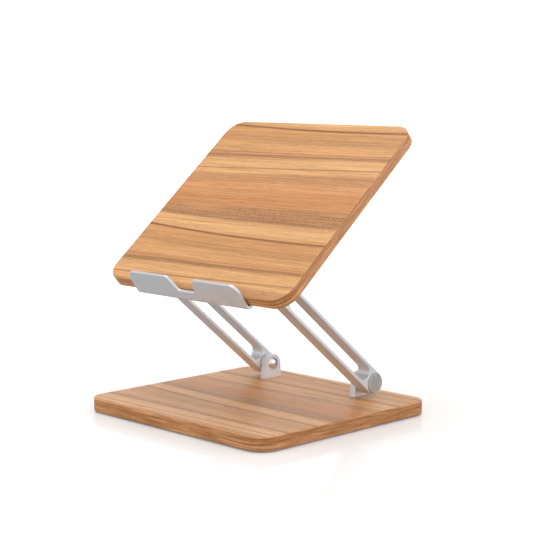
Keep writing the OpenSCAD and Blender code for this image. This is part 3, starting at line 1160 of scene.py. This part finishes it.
class BoardPattern(Pattern):
    """A board with round corners and round edges; each point is a screw hole's centre."""

    corner_steps = 14
    edge_steps = 5

    def __init__(self) -> None:
        """Builds the tree: an outline, an edge profile swept round it, two faces, and the holes."""
        names = ("Width", "Depth", "Thickness", "Corner", "Edge", "Hole", "Head", "Sink", "Reach")
        super().__init__("round_edged_board", names)
        edge, thickness = self.size("Edge"), self.size("Thickness")
        sides = {"Width": self.size("Width") - edge * 2, "Height": self.size("Depth") - edge * 2}
        square = self.add("GeometryNodeCurvePrimitiveQuadrilateral", None, sides)
        corner = {"Curve": square, "Count": self.corner_steps, "Radius": self.size("Corner") - edge}
        outline = self.add("GeometryNodeFilletCurve", {"mode": "POLY"}, corner)
        face = self.add("GeometryNodeFillCurve", None, {"Curve": outline})
        profile = self._edge_profile(edge, thickness)
        sweep = {"Curve": outline, "Profile Curve": profile}
        wall = self.add("GeometryNodeCurveToMesh", None, sweep)
        board = self.joined(face, self.lifted(face, thickness), wall)
        cutter = self._hole_cutter()
        settings = {"operation": "DIFFERENCE", "solver": "EXACT"}
        cut = self.add("GeometryNodeMeshBoolean", settings, {0: board, 1: self.at_points(cutter)})
        self.close(cut)

    def _edge_profile(self, edge: Wire, thickness: Wire) -> Wire:
        """Half a round edge, a straight side and the other half, as points placed by a rule.

        Args:
            edge: The radius of the round edges.
            thickness: The board's thickness.

        Returns:
            The profile, as a curve.
        """
        count = 2 * (self.edge_steps + 1)
        line = self.add("GeometryNodeMeshLine", None, {"Count": count})
        index = self.add("GeometryNodeInputIndex")
        last = float(self.edge_steps)
        second = index.above(last + 0.5)
        turn = (index - second * (last + 1.0)) * (math.pi / 2 / last)
        out = turn.sine() * (1.0 - second) + turn.cosine() * second
        low = edge * (1.0 - turn.cosine())
        high = thickness - edge + edge * turn.sine()
        up = low * (1.0 - second) + high * second
        place = self.join(out * edge, up * -1.0, 0.0)
        placed = self.add("GeometryNodeSetPosition", None, {"Geometry": line, "Position": place})
        return self.add("GeometryNodeMeshToCurve", None, {"Mesh": placed})

    def _hole_cutter(self) -> Wire:
        """What one screw takes out of the board, from just below its underside up."""
        hole, head, sink = self.size("Hole") / 2.0, self.size("Head") / 2.0, self.size("Sink")
        steps = [(head, -1.0 * MM), (head, sink), (hole, sink + head - hole), (hole, self.size("Reach"))]
        return self.turned(steps, 40)


# ---------------------------------------------------------------- sub-assemblies


@dataclass
class Board:
    """A wooden board, with a hole for each screw: its place, widths and depths."""

    node: str
    body: str
    place: Matrix
    wood: StreakyWood
    holes: list[Vector]
    hole: float
    head: float
    sink: float
    reach: float
    corner: float = 19 * MM
    edge: float = 1.2 * MM

    def build(self, pattern: BoardPattern) -> bpy.types.Object:
        """Makes the board with the pattern that both boards share.

        Args:
            pattern: The pattern.

        Returns:
            The finished board.
        """
        low, high = extent(self.node, self.place.inverted())
        sizes = {
            "Width": high.x - low.x,
            "Depth": high.y - low.y,
            "Thickness": high.z - low.z,
            "Corner": self.corner,
            "Edge": self.edge,
            "Hole": self.hole,
            "Head": self.head,
            "Sink": self.sink,
            "Reach": self.reach,
        }
        mesh = pattern.run(self.holes, sizes, self.wood)
        piece = Piece(self.node.replace("_board", "_board_wood"), self.body, (self.node,))
        return piece.make(mesh, self.place, self.wood)


@dataclass
class Arms:
    """The two slotted arms with the cap discs that close their recesses."""

    layout: Layout
    slot_width: float = 14.9 * MM
    slot_inset: float = 20 * MM
    bore: float = 3.05 * MM
    recess: float = 9.8 * MM
    recess_depth: float = 8.5 * MM
    rounding: float = 0.55 * MM
    chamfer: float = 0.25 * MM
    cap_skirt: float = 1.2 * MM
    cap_wall: float = 1.0 * MM

    # A cap's rim and the step down to its dish: how far in from the side and below the face
    cap_rim = (
        (0.0, 0.45 * MM),
        (0.1 * MM, 0.15 * MM),
        (0.35 * MM, 0.0),
        (0.85 * MM, 0.0),
        (1.0 * MM, 0.1 * MM),
    )

    @property
    def length(self) -> float:
        """The distance between an arm's pivots."""
        return (self.layout.upper_pivot - self.layout.lower_pivot).length

    def build(self) -> None:
        """Makes both arms and all four caps."""
        for side in Side:
            self._arm(side)
            self._cap(side, "lower", self.layout.lower_pivot)
            self._cap(side, "upper", self.layout.upper_pivot)

    def _arm(self, side: Side) -> bpy.types.Object:
        """Makes one arm: a bar with a slot, and a bore and a recess at each pivot.

        Args:
            side: The side that it is on.

        Returns:
            The finished arm.
        """
        low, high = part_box("arm_right")
        rise = self.layout.upper_pivot.z - self.layout.lower_pivot.z
        width = high.z - low.z - rise
        thickness = high.x - low.x
        floor = thickness - self.recess_depth
        steps = (
            (self.bore + self.chamfer, 0.0),
            (self.bore, self.chamfer),
            (self.bore, floor),
            (self.recess, floor),
            (self.recess, thickness - self.chamfer),
            (self.recess + self.chamfer, thickness),
        )
        bar = Workpiece().slab(
            stadium(0.0, self.length, width, 40),
            thickness,
            self.rounding,
            [stadium(self.slot_inset, self.length - self.slot_inset, self.slot_width)],
            [Bore((0.0, 0.0), steps), Bore((self.length, 0.0), steps)],
        )
        along = math.pi - self.layout.lift
        place = Layout.side_view(self.layout.lower_pivot, low.x, along, side)
        node = f"arm_{side.word}"
        return Piece(f"slotted_{node}", "arms", (node,)).make(bar, place, SATIN)

    def _cap(self, side: Side, end: str, pivot: Vector) -> bpy.types.Object:
        """Makes one cap disc, slightly dished, with the skirt that snaps into the recess.

        Args:
            side: The side that it is on.
            end: The end of the arm, "lower" or "upper".
            pivot: The pivot that it covers.

        Returns:
            The finished cap.
        """
        low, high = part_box(f"{end}_cap_right")
        radius = (high.y - low.y) / 2
        thickness = high.x - low.x
        inner = radius - self.cap_wall
        profile = [
            (0.0, self.cap_skirt),
            (inner, self.cap_skirt),
            (inner, 0.0),
            (radius, 0.0),
            *((radius - inset, thickness - drop) for inset, drop in self.cap_rim),
            (0.0, thickness - self.cap_rim[-1][1]),
        ]
        place = Layout.side_view(pivot, low.x, 0.0, side)
        node = f"{end}_cap_{side.word}"
        return Piece(f"{node}_disc", "arms", (node,)).make(Workpiece().turned(profile), place, CAP_GREY)


@dataclass
class Brackets:
    """The four brackets: an ear on each side of the base, and an ear with a flange above."""

    layout: Layout
    bore: float = 3.05 * MM
    head_recess: float = 6.2 * MM
    recess_depth: float = 2.2 * MM
    rounding: float = 0.4 * MM
    chamfer: float = 0.2 * MM
    flange: float = 2.6 * MM
    flange_corner: float = 1.2 * MM
    overlap: float = 1 * MM
    screw_hole: float = 1.65 * MM
    screw_head: float = 3.05 * MM

    def build(self) -> None:
        """Makes all four brackets."""
        for side in Side:
            self._lower(side)
            self._upper(side)

    def _ear(self) -> bpy.types.Mesh:
        """One ear in its side view: the pivot at the origin and its foot below."""
        low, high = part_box("base_bracket_right")
        pivot = self.layout.lower_pivot
        radius, drop = high.z - pivot.z, pivot.z - low.z
        half = (high.y - low.y) / 2
        touch = math.atan2(-drop, half) + math.acos(radius / math.hypot(half, drop))
        outline = [(-half, -drop), (half, -drop)]
        outline += arc((0.0, 0.0), radius, touch, math.pi - touch, 40)
        thickness = high.x - low.x
        steps = (
            (self.head_recess + self.chamfer, 0.0),
            (self.head_recess, self.chamfer),
            (self.head_recess, self.recess_depth),
            (self.bore, self.recess_depth),
            (self.bore, thickness),
        )
        return Workpiece().slab(outline, thickness, self.rounding, bores=[Bore((0.0, 0.0), steps)])

    def _lower(self, side: Side) -> bpy.types.Object:
        """Makes the ear that stands on the base.

        Args:
            side: The side that it is on.

        Returns:
            The finished bracket.
        """
        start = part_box("base_bracket_right")[0].x
        place = Layout.side_view(self.layout.lower_pivot, start, 0.0, side)
        node = f"base_bracket_{side.word}"
        return Piece(f"{node}_ear", "base", (node,)).make(self._ear(), place, SATIN)

    def _upper(self, side: Side) -> bpy.types.Object:
        """Makes the ear that hangs under the tablet board, with its screwed flange.

        Args:
            side: The side that it is on.

        Returns:
            The finished bracket.
        """
        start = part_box("base_bracket_right")[0].x
        hang = Layout.side_view(self.layout.upper_pivot, start, self.layout.slope + math.pi, side)
        ear = self._ear()
        ear.transform(hang)
        flange = self._flange(side)
        flange.transform(self.layout.board)
        node = f"board_bracket_{side.word}"
        piece = Piece(f"{node}_angle", "board", (node,), math.radians(28))
        return piece.make(united(ear, flange), identity(), SATIN)

    def _flange(self, side: Side) -> bpy.types.Mesh:
        """One upper bracket's flange in the board's frame, with two countersunk holes.

        Args:
            side: The side that it is on.

        Returns:
            The closed mesh.
        """
        low, high = extent("board_bracket_right", self.layout.board.inverted())
        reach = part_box("base_bracket_right")[0].x + self.overlap
        x0, x1 = sorted((side.value * low.x, side.value * reach))
        outline = rounded_box((x0, low.y), (x1, high.y), self.flange_corner, 6)
        cone = self.screw_head - self.screw_hole
        steps = (
            (self.screw_head, 0.0),
            (self.screw_hole, cone),
            (self.screw_hole, self.flange),
        )
        heads = feet_of_solids("board_bracket_screws", self.layout.board.inverted())
        holes = [Bore((head.x, head.y), steps) for head in heads if head.x * side.value > 0]
        mesh = Workpiece().slab(outline, self.flange, self.rounding, bores=holes)
        mesh.transform(Matrix.Translation((0, 0, -self.flange)))
        return mesh


@dataclass
class HingeHardware:
    """The four pivot bolts, and the finishes of the washers and nuts behind the caps."""

    layout: Layout
    shank: float = 3.0 * MM
    rim: float = 0.8 * MM
    dome: float = 2.2 * MM
    tip: float = 0.5 * MM
    soft: float = 0.2 * MM
    dome_steps: int = 12

    def build(self) -> None:
        """Makes the bolts and dresses the CAD nodes that stay."""
        for side in Side:
            self._bolt(side, "lower", "base", self.layout.lower_pivot)
            self._bolt(side, "upper", "upper_pivots", self.layout.upper_pivot)
        kept = {"friction_washers": NYLON, "spring_washers": SPRING, "steel_washers": ZINC, "lock_nuts": ZINC}
        for end in ("lower", "upper"):
            for parts, finish in kept.items():
                dress(f"{end}_{parts}", finish)

    def _bolt(self, side: Side, end: str, body: str, pivot: Vector) -> bpy.types.Object:
        """Makes one bolt: a domed head, a plain shank and a chamfered end.

        Args:
            side: The side that it is on.
            end: The pivot, "lower" or "upper".
            body: The body that it rides on.
            pivot: The pivot's place.

        Returns:
            The finished bolt.
        """
        low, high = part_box(f"{end}_pivot_bolt_right")
        radius = (high.y - low.y) / 2
        length = high.x - low.x
        ball = (radius**2 + self.dome**2) / (2 * self.dome)
        span = math.asin(radius / ball)
        angles = [span * i / self.dome_steps for i in range(self.dome_steps)]
        profile = [
            *((ball * math.sin(angle), ball * (1 - math.cos(angle))) for angle in angles),
            (radius - self.soft * 0.3, self.dome - self.soft * 0.4),
            (radius, self.dome + self.soft * 0.4),
            (radius, self.dome + self.rim),
            (self.shank, self.dome + self.rim),
            (self.shank, length - self.tip),
            (self.shank - self.tip, length),
            (0.0, length),
        ]
        place = Layout.side_view(pivot, low.x, 0.0, side)
        node = f"{end}_pivot_bolt_{side.word}"
        return Piece(f"{node}_domed", body, (node,)).make(Workpiece().turned(profile), place, CHROME)


def dress(node: str, finish: Finish) -> None:
    """Gives a CAD node that stays its finish.

    Args:
        node: The node's name.
        finish: Its finish.
    """
    shown = frame["nodes"][node]
    if shown.material_slots:
        for slot in shown.material_slots:
            slot.material = finish.material()
    else:
        shown.data.materials.append(finish.material())
    log.info("%s: kept as it is, %s", node, finish.name)


@dataclass
class Ledge:
    """The bent sheet that holds the tablet's lower edge, with a cable notch in its lip."""

    layout: Layout
    thickness: float = 2.8 * MM
    play: float = 0.05 * MM
    lip_gap: float = 1.0 * MM
    lip_height: float = 15 * MM
    lean: float = math.radians(5)
    bend: float = 2.4 * MM
    flange: float = 18 * MM
    corner: float = 9.5 * MM
    flange_corner: float = 1.5 * MM
    notch_width: float = 21.4 * MM
    notch_flare: float = 7 * MM
    notch_round: float = 3 * MM
    notch_sink: float = 0.7 * MM
    rounding: float = 0.6 * MM
    bend_steps: int = 14
    screw_hole: float = 1.65 * MM
    screw_head: float = 3.05 * MM
    board_depth: float = field(init=False)
    board_thickness: float = field(init=False)
    width: float = field(init=False)

    def __post_init__(self) -> None:
        """Reads the sizes that the frame gives."""
        low, high = extent("tablet_board", self.layout.board.inverted())
        self.board_depth = high.y - low.y
        self.board_thickness = high.z - low.z
        low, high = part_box("ledge")
        self.width = high.x - low.x

    @property
    def flange_end(self) -> float:
        """Where the flange ends under the board, in the board's frame."""
        return self.flange - self.board_depth / 2

    @property
    def bend_centre(self) -> Point:
        """The bend's centre, as Y and Z in the board's frame."""
        z = self.bend - self.play
        lip_face = -self.board_depth / 2 - self.lip_gap
        rise = self.board_thickness - z
        return (lip_face + self.bend / math.cos(self.lean) - rise * math.tan(self.lean), z)

    @property
    def bend_start(self) -> float:
        """The flat sheet's length up to the bend."""
        return self.flange_end - self.bend_centre[0]

    @property
    def bend_end(self) -> float:
        """The flat sheet's length up to the lip."""
        return self.bend_start + self.bend * (math.pi / 2 + self.lean)

    def along_lip(self, height: float) -> float:
        """The flat sheet's length up to a height above the board's underside."""
        start = self.bend_centre[1] + self.bend * math.sin(self.lean)
        return self.bend_end + (height - start) / math.cos(self.lean)

    def bent(self, x: float, along: float, depth: float) -> Vector:
        """Where a point of the flat sheet goes when the sheet is bent.

        Args:
            x: Its place across the sheet.
            along: Its distance from the flange's end.
            depth: Its depth below the sheet's inner face.

        Returns:
            The point in the board's frame.
        """
        turn = min(max((along - self.bend_start) / self.bend, 0.0), math.pi / 2 + self.lean)
        past = max(along - self.bend_end, 0.0)
        before = max(self.bend_start - along, 0.0)
        angle = 1.5 * math.pi - turn
        radius = self.bend + depth
        y = self.bend_centre[0] + radius * math.cos(angle) + before + past * math.sin(self.lean)
        z = self.bend_centre[1] + radius * math.sin(angle) + past * math.cos(self.lean)
        return Vector((x, y, z))

    def _levels(self) -> list[float]:
        """The lengths along the flat sheet at which the bend is divided."""
        span = self.bend_end - self.bend_start
        return [self.bend_start + span * i / self.bend_steps for i in range(self.bend_steps + 1)]

    def _outline(self) -> list[Point]:
        """The flat sheet's outline: across as X, and along the sheet as Y."""
        half = self.width / 2
        top = self.along_lip(self.board_thickness + self.lip_height)
        floor = self.along_lip(self.board_thickness - self.notch_sink)
        lean = math.atan(self.notch_flare / (top - floor))
        lead = self.notch_round * math.tan((math.pi / 2 - lean) / 2)
        mouth = self.notch_width / 2 + self.notch_flare
        quarter = math.pi / 2
        corner, small, bend = self.corner, self.flange_corner, self.notch_round
        right = arc((half - small, small), small, -quarter, 0.0, 6)
        right += [(half, level) for level in self._levels()]
        right += arc((half - corner, top - corner), corner, 0.0, quarter, 16)
        right += arc((mouth + lead, top - bend), bend, quarter, math.pi - lean, 8)
        right += arc((self.notch_width / 2 - lead, floor + bend), bend, -lean, -quarter, 8)
        left = [(-x, y) for x, y in reversed(right)]
        return right + left

    def _faces(self, work: Workpiece, ring: Ring, holes: Sequence[Ring]) -> None:
        """Closes one face of the sheet: the flange, the strips of the bend, and the lip.

        Args:
            work: The sheet.
            ring: The face's outline.
            holes: The rings of the bores in the flange.
        """
        levels = self._levels()
        near = 0.01 * MM
        rights = [next(v for v in ring if v.co.x > 0 and abs(v.co.y - level) < near) for level in levels]
        lefts = [next(v for v in ring if v.co.x < 0 and abs(v.co.y - level) < near) for level in levels]
        work.flat([v for v in ring if v.co.y < levels[0] + near], *holes)
        for i in range(len(levels) - 1):
            work.mesh.faces.new((lefts[i], rights[i], rights[i + 1], lefts[i + 1]))
        work.flat([v for v in ring if v.co.y > levels[-1] - near])

    def build(self) -> bpy.types.Object:
        """Makes the ledge: cuts the flat sheet, rounds its edges, and bends it."""
        work = Workpiece()
        lower, upper = work.rounded_wall(self._outline(), self.thickness, self.rounding, 1)
        cone = self.screw_head - self.screw_hole
        steps = (
            (self.screw_hole, 0.0),
            (self.screw_hole, self.thickness - cone),
            (self.screw_head, self.thickness),
        )
        heads = feet_of_solids("ledge_screws", self.layout.board.inverted())
        bores = [work.bore(Bore((head.x, self.flange_end - head.y), steps)) for head in heads]
        self._faces(work, lower, [low for low, _ in bores])
        self._faces(work, upper, [high for _, high in bores])
        for vertex in work.mesh.verts:
            vertex.co = self.bent(*vertex.co)
        piece = Piece("tablet_ledge", "board", ("ledge",), math.radians(30))
        return piece.make(work.done(), self.layout.board, SATIN)


@dataclass
class Fixings:
    """The screws of the boards, brackets and ledge, and the feet."""

    layout: Layout
    base_head: float = 7.6 * MM
    base_shank: float = 4 * MM
    wood_head: float = 6 * MM
    wood_shank: float = 3.2 * MM
    wood_reach: float = 7.4 * MM
    socket_depth: float = 1.1 * MM
    foot_edge: float = 0.35 * MM

    def build(self) -> None:
        """Makes the three groups of screws and the feet."""
        screws = ScrewPattern()
        base, board = self.layout.base, self.layout.board
        self._screws(screws, "base_bracket_screws", "base", base, self.base_head, self.base_shank)
        for node in ("board_bracket_screws", "ledge_screws"):
            self._screws(screws, node, "board", board, self.wood_head, self.wood_shank)
        self._feet()

    def _screws(
        self, pattern: ScrewPattern, node: str, body: str, place: Matrix, head: float, shank: float
    ) -> bpy.types.Object:
        """Makes one group of screws where its CAD node has them.

        Args:
            pattern: The pattern that all groups share.
            node: The CAD node's name.
            body: The body that they ride on.
            place: The frame that they stand upright in.
            head: A head's diameter.
            shank: A shank's diameter.

        Returns:
            The finished screws.
        """
        low, high = extent(node, place.inverted())
        sizes = {
            "Head": head,
            "Shank": shank,
            "Length": high.z - low.z,
            "Socket": head * 0.42,
            "Depth": self.socket_depth,
        }
        mesh = pattern.run(feet_of_solids(node, place.inverted()), sizes, ZINC)
        return Piece(f"{node}_socketed", body, (node,)).make(mesh, place, ZINC)

    def _feet(self) -> bpy.types.Object:
        """Makes the feet."""
        low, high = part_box("base_feet")
        spots = feet_of_solids("base_feet", identity())
        radius = spots[0].x - low.x
        sizes = {"Radius": radius, "Height": high.z - low.z, "Edge": self.foot_edge}
        mesh = FootPattern().run(spots, sizes, RUBBER)
        return Piece("base_feet_pads", "base", ("base_feet",)).make(mesh, identity(), RUBBER)


# ---------------------------------------------------------------- studio


@dataclass(frozen=True)
class SoftBox:
    """A square soft light that faces a point on the stand's axis."""

    name: str
    place: tuple[float, float, float]
    aim: float
    span: float
    power: float

    def hang(self) -> None:
        """Puts it in the scene."""
        data = bpy.data.lights.new(self.name, "AREA")
        data.size = self.span
        data.energy = self.power
        box = in_scene(self.name, data)
        box.location = self.place
        way = Vector((0.0, 0.0, self.aim)) - Vector(self.place)
        box.rotation_euler = way.to_track_quat("-Z", "Y").to_euler()


@dataclass
class Studio:
    """A white studio: floor, even light from all round, three soft boxes, and the camera.

    A flag keeps a part of the sky darker, so that the tablet board and the rims don't bleach.
    """

    eye: Vector = field(default_factory=lambda: Vector((0.9894, -0.9623, 0.3162)))
    azimuth: float = 45.43
    look_down: float = 7.278
    lens: float = 99.8
    sensor: float = 36.0
    floor_span: float = 12.0
    floor_blend: tuple[float, float] = (0.3, 1.6)
    floor_camera: float = 0.94
    floor_far: float = 2.4
    bounce_near: float = 0.42
    bounce_far: float = 1.25
    floor_gloss: float = 0.2
    floor_roughness: float = 0.14
    floor_glow: float = 0.14
    backdrop: float = 1.1
    sky: float = 0.95
    sky_right: float = 0.12
    sky_front: float = 0.05
    flag: tuple[float, float, float] = (-0.71, -0.06, 0.7)
    flag_edge: tuple[float, float] = (0.8, 0.98)
    flag_depth: float = 0.5
    boxes: tuple[SoftBox, ...] = (
        SoftBox("key", (-0.5, -0.1, 2.0), 0.1, 1.4, 7.0),
        SoftBox("side", (1.6, 1.5, 0.3), 0.08, 1.2, 5.0),
        SoftBox("front", (0.2, -1.6, 0.2), 0.08, 1.0, 2.2),
    )

    def build(self) -> None:
        """Sets everything up."""
        self._camera()
        self._floor()
        self._world()
        for box in self.boxes:
            box.hang()
        bpy.context.scene.view_settings.view_transform = "Standard"

    def _camera(self) -> None:
        """Places the camera."""
        data = bpy.data.cameras.new("camera")
        data.lens = self.lens
        data.sensor_width = self.sensor
        data.clip_start = 10 * MM
        camera = in_scene("camera", data)
        turn, tilt = math.radians(self.azimuth), math.radians(self.look_down)
        flat = math.cos(tilt)
        back = Vector((math.sin(turn) * flat, -math.cos(turn) * flat, math.sin(tilt)))
        camera.location = self.eye
        camera.rotation_mode = "QUATERNION"
        camera.rotation_quaternion = (-back).to_track_quat("-Z", "Y")
        bpy.context.scene.camera = camera

    def _floor(self) -> None:
        """Lays the floor that the feet stand on; the camera sees it whiter than the stand does."""
        half = self.floor_span / 2
        mesh = bpy.data.meshes.new("floor")
        ends = [(-half, -half, 0), (half, -half, 0), (half, half, 0), (-half, half, 0)]
        mesh.from_pydata(ends, [], [(0, 1, 2, 3)])
        material = bpy.data.materials.new("studio_floor")
        material.use_nodes = True
        graph = Graph(material.node_tree)
        seen = graph.add("ShaderNodeLightPath", output="Is Camera Ray")
        x, y, _ = graph.split(Finish.place(graph))
        far = ((x * x + y * y) ** 0.5).smooth(*self.floor_blend)
        white = far * (self.floor_far - self.floor_camera) + self.floor_camera
        bounce = far * (self.bounce_far - self.bounce_near) + self.bounce_near
        level = seen * (white - bounce) + bounce
        matt = graph.add("ShaderNodeBsdfDiffuse", None, {"Color": graph.join(level, level, level)})
        shine = {"Color": WHITE, "Roughness": self.floor_roughness}
        gloss = graph.add("ShaderNodeBsdfGlossy", None, shine)
        both = graph.add("ShaderNodeMixShader", None, {0: seen * self.floor_gloss, 1: matt, 2: gloss})
        glow = graph.add("ShaderNodeEmission", None, {"Strength": seen * self.floor_glow})
        lit = graph.add("ShaderNodeAddShader", None, {0: both, 1: glow})
        graph.add("ShaderNodeOutputMaterial", None, {"Surface": lit})
        mesh.materials.append(material)
        in_scene("floor", mesh)

    def _world(self) -> None:
        """Surrounds the stand with white, a little darker where the flag is."""
        world = bpy.data.worlds.new("studio")
        world.use_nodes = True
        bpy.context.scene.world = world
        graph = Graph(world.node_tree)
        seen = graph.add("ShaderNodeLightPath", output="Is Camera Ray")
        way = graph.add("ShaderNodeTexCoord", output="Generated")
        x, y, _ = graph.split(way)
        flag = graph.along(way, self.flag).smooth(*self.flag_edge) * self.flag_depth
        sky = (self.sky + x * self.sky_right - y * self.sky_front) * (1.0 - flag)
        strength = seen * (self.backdrop - sky) + sky
        light = graph.add("ShaderNodeBackground", None, {"Color": WHITE, "Strength": strength})
        graph.add("ShaderNodeOutputWorld", None, {"Surface": light})


# ---------------------------------------------------------------- assembly


def build_boards(layout: Layout, fixings: Fixings) -> None:
    """Makes the base board and the tablet board with one pattern.

    Args:
        layout: The places of the boards.
        fixings: The screws that the holes are for.
    """
    pattern = BoardPattern()
    play = 0.1 * MM
    base_low, base_high = extent("base_board", layout.base.inverted())
    base_screws = feet_of_solids("base_bracket_screws", layout.base.inverted())
    Board(
        node="base_board",
        body="base",
        place=layout.base,
        wood=StreakyWood("base_wood", Fit.WOOD, tuple(layout.base.translation)),
        holes=[Vector((spot.x, spot.y, base_low.z)) for spot in base_screws],
        hole=fixings.base_shank + play,
        head=fixings.base_head + play,
        sink=base_screws[0].z,
        reach=base_high.z - base_low.z + 1 * MM,
    ).build(pattern)
    board_screws = feet_of_solids("board_bracket_screws", layout.board.inverted())
    board_screws += feet_of_solids("ledge_screws", layout.board.inverted())
    drill = fixings.wood_shank + play
    Board(
        node="tablet_board",
        body="board",
        place=layout.board,
        wood=StreakyWood("tablet_wood", Fit.WOOD, tuple(layout.board.translation), layout.slope),
        holes=[Vector((spot.x, spot.y, 0.0)) for spot in board_screws],
        hole=drill,
        head=drill + 0.2 * MM,
        sink=0.1 * MM,
        reach=fixings.wood_reach,
    ).build(pattern)


def main() -> None:
    """Builds the stand and the studio round it."""
    logging.basicConfig(level=logging.INFO, format="%(name)s: %(message)s")
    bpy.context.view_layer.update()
    Studio().build()
    layout = Layout.read()
    fixings = Fixings(layout)
    build_boards(layout, fixings)
    Arms(layout).build()
    Brackets(layout).build()
    HingeHardware(layout).build()
    Ledge(layout).build()
    fixings.build()


if __name__ == "__main__":
    main()
